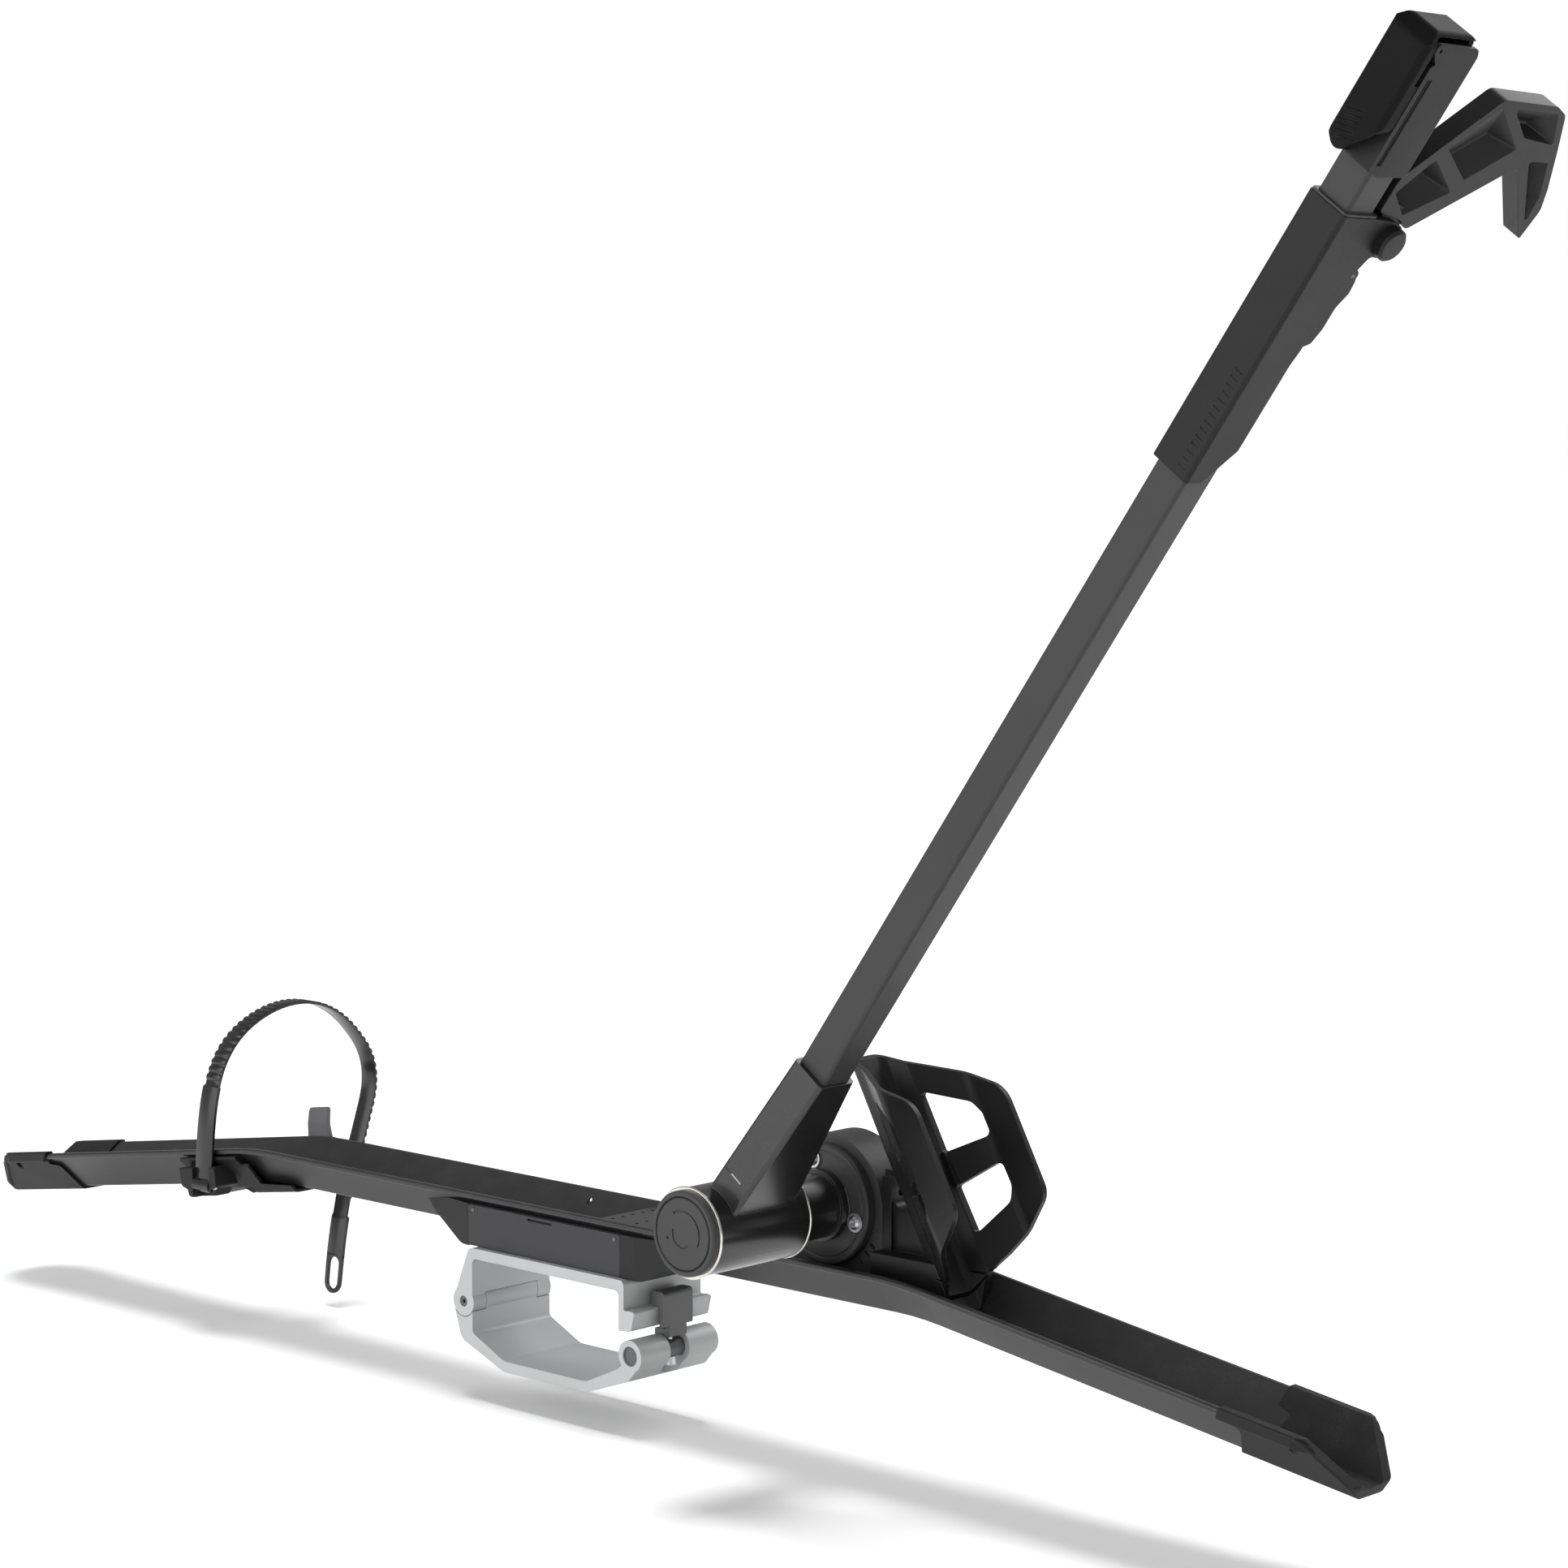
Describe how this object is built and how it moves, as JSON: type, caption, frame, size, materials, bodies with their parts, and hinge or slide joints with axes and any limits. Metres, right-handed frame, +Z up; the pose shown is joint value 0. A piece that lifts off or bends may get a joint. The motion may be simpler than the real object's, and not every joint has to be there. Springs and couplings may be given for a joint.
{
  "type": "hitch bike carrier",
  "caption": "Clamp-on wheel tray for a bicycle with a pivoting arm, sliding hook, tyre cradle and wheel strap, held on a carrier's spine.",
  "frame": {"origin": "centre of the upper jaw's flat inner face, where the spine beam seats", "axes": "+X along the tray towards the arm, +Y across the tray away from the arm's tube, +Z up"},
  "size_m": [1.4853, 0.2773, 0.9241],
  "materials": {
    "tray_paint": "satin powder coat",
    "cap_plastic": "fine moulded grain",
    "housing_plastic": "moulded grain",
    "panel_grey": "satin grey",
    "screw_steel": "plain zinc",
    "jaw_alloy": "blasted casting",
    "dark_steel": "black oxide",
    "block_black": "black satin casting",
    "disc_black": "black, turned rings",
    "shaft_black": "black oxide, turned",
    "barrel_black": "black satin with sheen",
    "ring_bright": "polished",
    "hub_cap_plastic": "moulded",
    "arm_paint": "satin powder coat",
    "head_plastic": "moulded grain",
    "cover_plastic": "semi gloss",
    "slider_plastic": "moulded grain",
    "hook_plastic": "moulded grain",
    "cradle_plastic": "moulded sheen",
    "strap_plastic": "smooth moulded",
    "tab_grey": "moulded"
  },
  "bodies": {
    "tray": {"tray_channel": "tray_paint", "front_end_cap": "cap_plastic", "rear_end_cap": "cap_plastic", "deck_plate": "tray_paint", "mount_housing": "housing_plastic", "side_panel_near": "panel_grey", "side_panel_far": "panel_grey", "panel_screws": "screw_steel", "tray_bolts": "screw_steel", "upper_jaw": "jaw_alloy", "jaw_hinge_pin": "dark_steel", "pivot_block": "block_black", "detent_disc": "disc_black", "disc_bolts": "screw_steel", "pivot_shaft": "shaft_black", "wheel_cradle": "cradle_plastic", "cradle_base": "cradle_plastic", "cradle_bolts": "screw_steel"},
    "lower_jaw": {"lower_jaw": "jaw_alloy"},
    "dowel": {"clamp_dowel": "dark_steel"},
    "claw": {"clamp_claw": "dark_steel"},
    "bolt": {"clamp_bolt": "screw_steel"},
    "arm": {"hub_barrel": "barrel_black", "hub_cap": "hub_cap_plastic", "thrust_rings": "ring_bright", "arm_tube": "arm_paint", "arm_head": "head_plastic", "lock_core": "screw_steel", "cover_pin": "dark_steel"},
    "cover": {"head_cover": "cover_plastic"},
    "slider": {"slider_sleeve": "slider_plastic", "sleeve_liners": "hub_cap_plastic", "hook_pin": "slider_plastic", "lever_pin": "dark_steel"},
    "lever": {"release_lever": "slider_plastic"},
    "hook": {"tyre_hook": "hook_plastic"},
    "carriage": {"strap_carriage": "cap_plastic", "strap_pin": "screw_steel", "buckle_frame": "cap_plastic", "buckle_pin": "screw_steel"},
    "strap": {"wheel_strap": "strap_plastic"},
    "buckle": {"buckle_lever": "tab_grey"}
  },
  "joints": [
    {"name": "jaw_hinge", "type": "hinge", "parent": "tray", "child": "lower_jaw", "pos_m": [-0.0861, 0, -0.033], "axis": [0, -1, 0], "range_deg": [-0.82, 0.82]},
    {"name": "claw_swing", "type": "hinge", "parent": "lower_jaw", "child": "dowel", "pos_m": [0.0878, 0, -0.0451], "axis": [0, 1, 0], "range_deg": [0, 70]},
    {"name": "claw_lift", "type": "slide", "parent": "dowel", "child": "claw", "axis": [0, 0, 1], "range_m": [-0.0026, 0.0026]},
    {"name": "bolt_turn", "type": "hinge", "parent": "dowel", "child": "bolt", "pos_m": [0.0878, 0, -0.0451], "axis": [0, 0, -1], "range_deg": [-720, 720]},
    {"name": "arm_pivot", "type": "hinge", "parent": "tray", "child": "arm", "pos_m": [0.251, 0, 0.0831], "axis": [0, -1, 0], "range_deg": [-50, 126]},
    {"name": "cover_hinge", "type": "hinge", "parent": "arm", "child": "cover", "pos_m": [0.78961, -0.0945, 0.81472], "axis": [-0.8053, 0, 0.5929], "range_deg": [0, 90]},
    {"name": "slider_slide", "type": "slide", "parent": "arm", "child": "slider", "axis": [0.5929, 0, 0.8053], "range_m": [-0.45, 0.015]},
    {"name": "lever_squeeze", "type": "hinge", "parent": "slider", "child": "lever", "pos_m": [0.70454, -0.0775, 0.69916], "axis": [-0.8053, 0, 0.5929], "range_deg": [0, 2.5], "stiffness_Nm_per_rad": 0.5},
    {"name": "hook_fold", "type": "hinge", "parent": "slider", "child": "hook", "pos_m": [0.71906, -0.0665, 0.71889], "axis": [-0.8053, 0, 0.5929], "range_deg": [0, 88]},
    {"name": "carriage_slide", "type": "slide", "parent": "tray", "child": "carriage", "axis": [-0.9893, 0, -0.1461], "range_m": [0, 0.118]},
    {"name": "strap_swing", "type": "hinge", "parent": "carriage", "child": "strap", "pos_m": [-0.383, -0.0432, 0.013], "axis": [1, 0, 0], "range_deg": [0, 75]},
    {"name": "buckle_lift", "type": "hinge", "parent": "carriage", "child": "buckle", "pos_m": [-0.34978, 0.0476, 0.0385], "axis": [-0.9893, 0, -0.1461], "range_deg": [0, 70]}
  ],
  "couplings": [
    {"joint": "claw_lift", "follows": "jaw_hinge", "m_per_rad": -0.1739},
    {"joint": "bolt_turn", "follows": "jaw_hinge", "ratio": -874.12}
  ]
}
